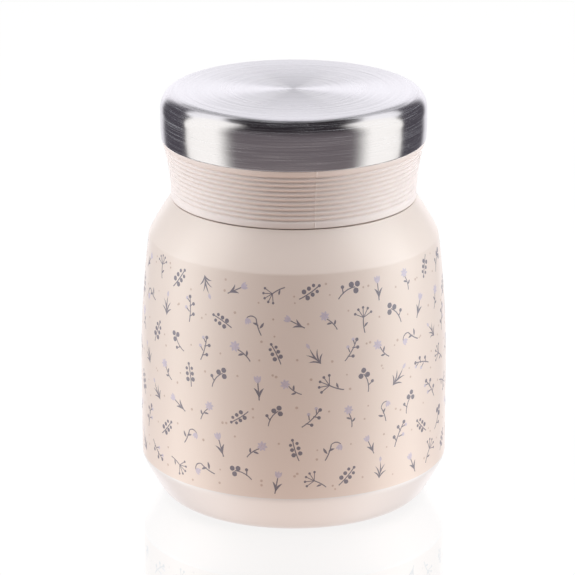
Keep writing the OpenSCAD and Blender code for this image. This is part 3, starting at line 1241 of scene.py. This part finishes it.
@dataclass
class GripRing:
    """Ribbed ring under the cap: concave flank, ten grooves, mould line, female thread."""

    seat_z: float = 90.46
    height: float = 17.44
    waist_r: float = 35.7
    flare: float = 2.6
    edge: float = 0.2
    grooves: int = 10
    first_groove: float = 2.27
    pitch: float = 1.46
    groove_w: float = 1.3
    groove_depth: float = 0.52
    groove_steps: int = 11
    wall: float = 1.6
    upstand_r: float = 37.95
    upstand_h: float = 6.0
    upstand_round: float = 0.3
    deck_z: float = 107.9
    deck_top: float = 109.5
    deck_round: float = 0.5
    plug_bore: float = 28.9
    bore_r: float = 33.8
    bore_steps: int = 100
    bore_relief: float = 0.8
    bore_round: float = 0.4
    thread: Thread = Thread(start_z=93.4, start=215.0, turns=1.25, width=1.9, height=1.0)
    mould_line: float = math.radians(-80.3)
    mould_ridge: float = 0.11
    mould_width: float = 0.36
    mould_from_r: float = 35.3
    mould_gap: float = 0.02
    segments: int = 300
    finish: MouldedPlastic = MouldedPlastic((0.785, 0.682, 0.64))

    def flank(self, level: Array | float) -> Array:
        """Radius at a height over the ring's underside: the waist plus the flare times its square."""
        return self.waist_r + self.flare * (level / self.height) ** 2

    def at(self, level: float) -> Array:
        """Point of the flank at a height over the ring's underside."""
        return point(self.flank(level), self.seat_z + level)

    def outside_line(self) -> Array:
        """Flank from the underside to the lip, with rounded edges and cosine grooves.

        Formula: the flank's radius, less the groove's depth by a raised cosine across each groove.

        Returns:
            Points of the line, upwards.
        """
        phase = np.linspace(-0.5, 0.5, self.groove_steps)
        spread = np.arange(self.grooves)[:, None] * self.pitch
        levels = (self.first_groove + spread + phase * self.groove_w).ravel()
        dips = np.tile(hump(TURN * phase), self.grooves) * self.groove_depth
        grooved = points(self.flank(levels) - dips, self.seat_z + levels)
        low, high, inwards = self.at(0.0), self.at(self.height), point(self.edge, 0.0)
        lower = bend(low - inwards, low, self.at(self.edge), steps=6)
        upper = self.at(self.height - self.edge)
        return path(low - inwards, lower, grooved, upper, bend(upper, high, high - inwards, steps=6))

    def inside_line(self) -> Array:
        """Inside from the lip: upstand in the cap, deck on the plug, bore, rounded lower edge.

        Formula: straight lines with rounded corners, even heights down the bore, and a bend.

        Returns:
            Points of the line.
        """
        rim = self.seat_z + self.height
        upstand_z = rim + self.upstand_h
        inner_r = self.upstand_r - self.wall
        bore_z = self.deck_z - self.bore_relief
        upper = rounded(
            (self.upstand_r, rim, 0),
            (self.upstand_r, upstand_z, self.upstand_round),
            (inner_r, upstand_z, self.upstand_round),
            (inner_r, self.deck_top, 0),
            (self.plug_bore, self.deck_top, 0),
            (self.plug_bore, self.deck_z, 0),
            (self.bore_r, self.deck_z, self.deck_round),
            (self.bore_r, bore_z, 0),
            steps=5,
        )
        levels = np.linspace(bore_z, self.seat_z + self.bore_round, self.bore_steps)
        bore = points(self.bore_r, levels[1:])
        foot = point(self.bore_r + self.bore_round, self.seat_z)
        return path(upper, bore, bend(bore[-1], point(self.bore_r, self.seat_z), foot, steps=5))

    def mould_rise(self, around: Array) -> Array:
        """Ridge where the mould's halves met: a raised cosine across each of two opposite lines.

        Args:
            around: azimuths, in radians.

        Returns:
            Rise of the ridge at each azimuth.
        """
        half = self.mould_width / 2.0 / self.waist_r
        away = (around - self.mould_line + math.pi / 2.0) % math.pi - math.pi / 2.0
        return self.mould_ridge * hump(math.pi * np.clip(away / half, -1.0, 1.0))

    def build(self) -> None:
        """Make and dress the ring.

        Formula: the thread's rise is taken off the bore's radius, and the mould ridge's rise is
        added to the flank's.
        """
        line = supported(path(self.outside_line(), self.inside_line()))
        around = azimuths(self.segments, self.mould_line, self.mould_line + math.pi)
        radius = line[:, :1] + np.zeros_like(around)
        bore = np.abs(line[:, 0] - self.bore_r) < TINY
        radius[bore] -= self.thread.rise(around, line[bore, 1:])
        level = line[:, 1] - self.seat_z
        flank = (line[:, 0] > self.mould_from_r) & (level > 0.0) & (level < self.height - self.mould_gap)
        radius[flank] += self.mould_rise(around)
        ring = skin("grip_ring_skin", radius, line[:, 1:], around)
        present(ring, self.finish.build("grip_plastic"), Body.LID, Slot.GRIP_PLASTIC, "grip_ring")


@dataclass
class SteelCap:
    """Brushed steel cap with a rounded top edge and a rolled-in hem."""

    radius: float = 38.6
    top_z: float = 122.0
    foot_z: float = 107.9
    edge_h: float = 5.5
    edge_w: float = 4.6
    edge_steps: int = 31
    hem_steps: int = 11
    tuck: float = 0.2
    tuck_h: float = 5.0
    tuck_turn: float = 0.55
    wall: float = 0.5
    segments: int = 320
    finish: SpunSteel = SpunSteel(top_z=122.0)

    def build(self) -> None:
        """Make and dress the cap.

        Formula: half a circle round the hem, a bend up the tucked side, a quarter of an ellipse
        over the edge, and straight lines with rounded corners inside.
        """
        inner = self.radius - self.wall
        hem = self.wall / 2.0
        tuck_z = self.foot_z + self.tuck_h
        centre = point(self.radius - self.tuck - hem, self.foot_z + hem)
        roll = circle(np.linspace(-math.pi, 0.0, self.hem_steps)[1:]) * hem + centre
        turn = point(self.radius, self.foot_z + self.tuck_turn * self.tuck_h)
        side = bend(roll[-1], turn, point(self.radius, tuck_z), steps=14)
        edge = circle(np.linspace(0.0, math.pi / 2.0, self.edge_steps)) * point(self.edge_w, self.edge_h)
        edge += point(self.radius - self.edge_w, self.top_z - self.edge_h)
        under = self.top_z - self.wall
        inside = rounded(
            (0, under, 0),
            (inner, under, self.edge_h - self.wall),
            (inner, tuck_z, 0),
            (inner - self.tuck, self.foot_z + hem, 0),
            steps=18,
        )
        line = path(roll, side, edge, point(0.0, self.top_z), inside)
        cap = spun("steel_cap_skin", line, self.segments)
        present(cap, self.finish.build("brushed_steel"), Body.LID, Slot.BRUSHED_STEEL, "steel_cap")


@dataclass
class LidInside:
    """Plug and seal under the cap, and the sealed foam and cover inside the plug."""

    plug_r: float = 28.6
    plug_z: float = 97.4
    deck_top: float = 109.5
    wall: float = 1.6
    flange_r: float = 36.05
    flange_round: float = 0.2
    core_top: float = 119.9
    plug_round: float = 2.0
    well_round: float = 0.4
    seal_r: float = 32.8
    seal_top: float = 107.9
    seal_t: float = 2.0
    seal_rounds: Pair = (0.5, 0.3)
    collar: float = 2.5
    collar_wall: float = 0.8
    collar_round: float = 0.25
    collar_fillet: float = 0.2
    seam: float = 0.01
    gap: float = 0.3
    plastic: InnerPlastic = InnerPlastic()
    silicone: Silicone = Silicone()
    foam: Foam = Foam()

    def plug(self) -> Object:
        """Plug with its flange: closed floor, wall, open top.

        Formula: straight lines with rounded corners.

        Returns:
            The object.
        """
        well_r = self.plug_r - self.wall
        well_z = self.plug_z + self.wall
        flange_z = self.deck_top + self.wall
        line = rounded(
            (0, self.plug_z, 0),
            (self.plug_r, self.plug_z, self.plug_round),
            (self.plug_r, self.deck_top, 0),
            (self.flange_r, self.deck_top, self.flange_round),
            (self.flange_r, flange_z, self.flange_round),
            (self.plug_r, flange_z, 0),
            (self.plug_r, self.core_top, 0),
            (well_r, self.core_top, 0),
            (well_r, well_z, self.well_round),
            (0, well_z, 0),
        )
        return spun("lid_core_skin", line)

    def seal(self) -> Object:
        """Flat washer with a collar round the plug.

        Formula: straight lines with rounded corners.

        Returns:
            The object.
        """
        inside = self.plug_r + self.gap
        outside = inside + self.collar_wall
        under = self.seal_top - self.seal_t
        foot = under - self.collar
        line = rounded(
            (inside, self.seal_top - self.seam, 0),
            (inside, foot, self.collar_round),
            (outside, foot, self.collar_round),
            (outside, under, self.collar_fillet),
            (self.seal_r, under, self.seal_rounds[0]),
            (self.seal_r, self.seal_top, self.seal_rounds[1]),
            (inside, self.seal_top, 0),
            steps=5,
        )
        return spun("lid_seal_skin", line)

    def build(self) -> None:
        """Make the plug and the seal, and dress all four pieces."""
        plastic = self.plastic.build("inner_plastic")
        present(self.plug(), plastic, Body.LID, Slot.INNER_PLASTIC, "lid_core")
        present(self.seal(), self.silicone.build("seal_silicone"), Body.RISER, Slot.SILICONE, "lid_seal")
        dress("core_cover", plastic)
        dress("lid_insulation", self.foam.build("cut_foam"))


# ---- the set


@dataclass(frozen=True)
class Panel:
    """Patch of the tent on both sides of the set, as seen from the jar, and the light it gives.

    Angles are degrees. Bearing 0 lies towards the front. The soft numbers are the widths of the
    fades at the first and last bearing and at the lower and upper height, and the lean is how far
    the upper height rises for each degree of bearing.
    """

    bearing: Pair
    height: Pair
    light: float
    tint: Colour
    soft: tuple[float, float, float, float]
    lean: float = 0.0

    def cover(self, bearing: Array, height: Array) -> Array:
        """Share of the panel at each direction: a smooth step over each edge's own softness.

        Args:
            bearing: bearings of the directions, either side of the front.
            height: heights of the directions.

        Returns:
            Shares between 0 and 1.
        """
        bearing = np.abs(bearing)
        past = bearing - self.bearing[0]
        top = self.height[1] + self.lean * past
        share = np.ones_like(bearing)
        edges = (past, self.bearing[1] - bearing, height - self.height[0], top - height)
        for inwards, soft in zip(edges, self.soft):
            share = share * smooth(inwards / soft + 0.5)
        return share


@dataclass(frozen=True)
class Lamp:
    """Soft lamp that lights the object and the floor but shows in no reflection.

    It stands at a bearing in degrees to the right of the front and a height in degrees, and faces
    the jar's middle. Its distance and its width and height are metres, its power watts.
    """

    name: str
    bearing: float
    height: float
    power: float
    tint: Colour = WHITE
    distance: float = 0.75
    size: Pair = (0.5, 0.5)

    def build(self, aim: Vector) -> None:
        """Make the lamp.

        Args:
            aim: the jar's middle.
        """
        data = bpy.data.lights.new(self.name, "AREA")
        data.color = self.tint
        data.shape = "RECTANGLE"
        data.size, data.size_y = self.size
        data.energy = self.power
        bearing, height = math.radians(self.bearing), math.radians(self.height)
        flat = math.cos(height)
        way = Vector((math.sin(bearing) * flat, -math.cos(bearing) * flat, math.sin(height)))
        lamp = link(self.name, data)
        lamp.location = aim + way * self.distance
        lamp.rotation_euler = way.to_track_quat("Z", "Y").to_euler()
        lamp.visible_camera = False
        lamp.visible_glossy = False


SIDE_TINT = (0.845, 1.0, 1.075)
HIGH_TINT = (0.955, 1.0, 1.055)


@dataclass
class Studio:
    """White floor, five soft lamps, the camera, and the tent that the steel reflects.

    Lengths of the camera and the floor are metres, the elevation is radians, and the lens and the
    tent's radius are millimetres. Each fade of the light that the floor throws on the jar is a
    range of strengths, and the range of metres from the foot's centre that it is spread over.
    """

    aim: tuple[float, float, float] = (0.0, 0.0, 0.0617)
    distance: float = 1.0
    elevation: float = math.radians(17.9)
    lens: float = 213.0
    shift: float = -0.0108
    floor_reach: float = 3.0
    floor_z: float = -0.00003
    floor_grey: float = 0.03
    floor_glow: Colour = (0.985, 1.04, 1.06)
    mirror_tint: Colour = (1.0, 0.86, 0.8)
    mirror_share: float = 0.29
    table_tint: Colour = (1.19, 1.0, 0.9)
    table_fades: tuple[tuple[Pair, Pair], ...] = (
        ((0.95, 0.18), (0.18, 0.52)),
        ((1.3, 1.0), (0.05, 0.13)),
        ((0.45, 1.0), (0.034, 0.046)),
    )
    tent_r: float = 1800.0
    tent_steps: tuple[int, int] = (360, 181)
    gloom: Colour = (0.029, 0.024, 0.029)
    panels: tuple[Panel, ...] = (
        Panel((-1, 56), (-90, 27), 0.175, (1.14, 1, 1.07), (1, 12, 1, 36)),
        Panel((70, 158), (30, 60), 1.38, (1, 1, 1.02), (16, 34, 6, 5)),
        Panel((-1, 56), (-90, -27), 0.33, (1.16, 1, 0.97), (1, 12, 1, 14)),
        Panel((147.5, 181), (-90, 54), 1.25, (1, 0.985, 1.03), (19, 1, 1, 10)),
        Panel((147.5, 181), (-90, -2), 1.0, (1, 0.985, 1.03), (19, 1, 1, 14)),
        Panel((158, 173), (30, 80), 0.16, WHITE, (5, 5, 6, 6)),
        Panel((106, 150), (-90, 22), 0.1, (1.08, 1, 1.2), (3, 16, 1, 7), 0.68),
        Panel((60.3, 105), (-90, 57), 1.5, (1.01, 1, 0.95), (21, 2, 1, 5)),
        Panel((-1, 181), (-91, -58), 0.8, (1, 1, 1.02), (1, 1, 1, 24)),
    )
    lamps: tuple[Lamp, ...] = (
        Lamp("left_lamp", -90, 4, 5.15, SIDE_TINT, size=(0.4, 0.5)),
        Lamp("right_lamp", 86, 4, 5.25, SIDE_TINT, size=(0.4, 0.5)),
        Lamp("left_high_lamp", -76, 48, 2.95, HIGH_TINT),
        Lamp("right_high_lamp", 76, 48, 3.05, HIGH_TINT),
        Lamp("top_lamp", 180, 86, 6.2, distance=0.9, size=(0.6, 0.6)),
    )

    def camera(self) -> None:
        """Camera in front of the jar, a little above it, looking along +Y."""
        data = bpy.data.cameras.new("camera")
        data.lens = self.lens
        data.shift_x = self.shift
        camera = link("camera", data)
        back = Vector((0.0, -math.cos(self.elevation), math.sin(self.elevation)))
        camera.location = Vector(self.aim) + back * self.distance
        camera.rotation_euler = (math.pi / 2.0 - self.elevation, 0.0, 0.0)
        bpy.context.scene.camera = camera

    def painted(self, places: Array) -> Array:
        """Light of the tent: its gloom, with each panel laid over those before it.

        Args:
            places: places on the tent.

        Returns:
            Red, green and blue light at each place.
        """
        x, y, z = places.T
        bearing = np.degrees(np.arctan2(x, -y))
        height = np.degrees(np.arctan2(z, np.hypot(x, y)))
        light = np.array(self.gloom)
        for panel in self.panels:
            share = panel.cover(bearing, height)[:, None]
            light = light * (1.0 - share) + panel.light * np.array(panel.tint) * share
        return light

    def tent(self) -> None:
        """Sphere round the set that only reflections see, with its light painted on its vertices.

        Formula: its rings' radii and heights are its radius by the sine and cosine of the polar
        angle. The floor, which is the only sharp mirror, sees it white.
        """
        columns, rows = self.tent_steps
        polar = np.linspace(0.0, math.pi, rows)[:, None]
        tent = skin("tent", self.tent_r * np.sin(polar), self.tent_r * np.cos(polar), azimuths(columns))
        mesh = tent.data
        places = np.empty(3 * len(mesh.vertices), dtype=np.float32)
        mesh.vertices.foreach_get("co", places)
        light = self.painted(places.reshape(-1, 3).astype(float)).astype(np.float32)
        mesh.attributes.new("light", "FLOAT_VECTOR", "POINT").data.foreach_set("vector", light.ravel())
        graph = Graph(bpy.data.materials.new("tent_cloth"))
        painted = graph.add("Attribute", attribute_name="light").outputs["Color"]
        mirrored = graph.add("LightPath").outputs["Is Singular Ray"]
        seen = graph.add("Mix", {0: mirrored, 6: painted, 7: (*WHITE, 1.0)}, data_type="RGBA").outputs[2]
        graph.add("OutputMaterial", {"Surface": graph.add("Emission", {"Color": seen})})
        graph.block.cycles.emission_sampling = "NONE"
        mesh.materials.append(graph.block)
        for flag in ("camera", "diffuse", "transmission", "volume_scatter", "shadow"):
            setattr(tent, "visible_" + flag, False)

    def floor(self) -> None:
        """White floor: glowing white to the camera, with a faint mirror image, clear from beneath.

        All other rays see the light that it throws on the jar, less of it near the foot and far off.
        """
        places = np.array([(-1, -1, 0), (1, -1, 0), (1, 1, 0), (-1, 1, 0)]) * self.floor_reach
        places[:, 2] = self.floor_z
        floor = make_mesh("floor", places, [[0, 1, 2, 3]])
        graph = Graph(bpy.data.materials.new("white_floor"))
        paint = graph.add("BsdfDiffuse", {"Color": (*[self.floor_grey] * 3, 1.0)})
        glow = graph.add("Emission", {"Color": (*self.floor_glow, 1.0)})
        white = graph.add("AddShader", {0: paint, 1: glow})
        mirror = graph.add("BsdfGlossy", {"Color": (*self.mirror_tint, 1.0), "Roughness": 0.0})
        polished = graph.add("MixShader", {0: self.mirror_share, 1: white, 2: mirror})
        beneath = graph.add("NewGeometry").outputs["Backfacing"]
        shown = graph.add("MixShader", {0: beneath, 1: polished, 2: graph.add("BsdfTransparent")})
        away = graph.vectors("LENGTH", graph.place())
        strength = 1.0
        for strengths, distances in self.table_fades:
            strength = graph.maths("MULTIPLY", strength, graph.between(away, strengths, distances))
        table = graph.add("Emission", {"Color": (*self.table_tint, 1.0), "Strength": strength})
        camera_ray = graph.add("LightPath").outputs["Is Camera Ray"]
        surface = graph.add("MixShader", {0: camera_ray, 1: table, 2: shown})
        graph.add("OutputMaterial", {"Surface": surface})
        floor.data.materials.append(graph.block)
        floor.visible_glossy = False

    def world(self) -> None:
        """World: white to the camera, to reflections and through glass, and dark to all other rays."""
        world = bpy.data.worlds.new("world")
        bpy.context.scene.world = world
        graph = Graph(world)
        rays = graph.add("LightPath").outputs
        seen = graph.maths("MAXIMUM", rays["Is Camera Ray"], rays["Is Glossy Ray"])
        seen = graph.maths("MAXIMUM", seen, rays["Is Transmission Ray"])
        back = graph.add("Background", {"Color": (*WHITE, 1.0), "Strength": seen})
        graph.add("OutputWorld", {"Surface": back})

    def build(self) -> None:
        """Set up the camera, the floor, the tent, the world and the lamps."""
        self.camera()
        self.floor()
        self.tent()
        self.world()
        for lamp in self.lamps:
            lamp.build(Vector(self.aim))
        bpy.context.scene.view_settings.view_transform = "Standard"
        log.info("studio ready")


def corners(box: tuple[Vector, Vector]) -> list[list[float]]:
    """Box as two plain lists of numbers."""
    return [[float(part) for part in corner] for corner in box]


def main() -> None:
    """Build the studio, the jar and the lid."""
    logging.basicConfig(level=logging.INFO, format="%(message)s")
    outer = OuterBody()
    inside = (InnerVessel(), VacuumFittings())
    lid = (GripRing(), SteelCap(), LidInside())
    for part in (Studio(), outer, DitsyPrint(outer), *inside, *lid):
        log.info("building %s", type(part).__name__)
        part.build()


if __name__ == "__main__":
    main()
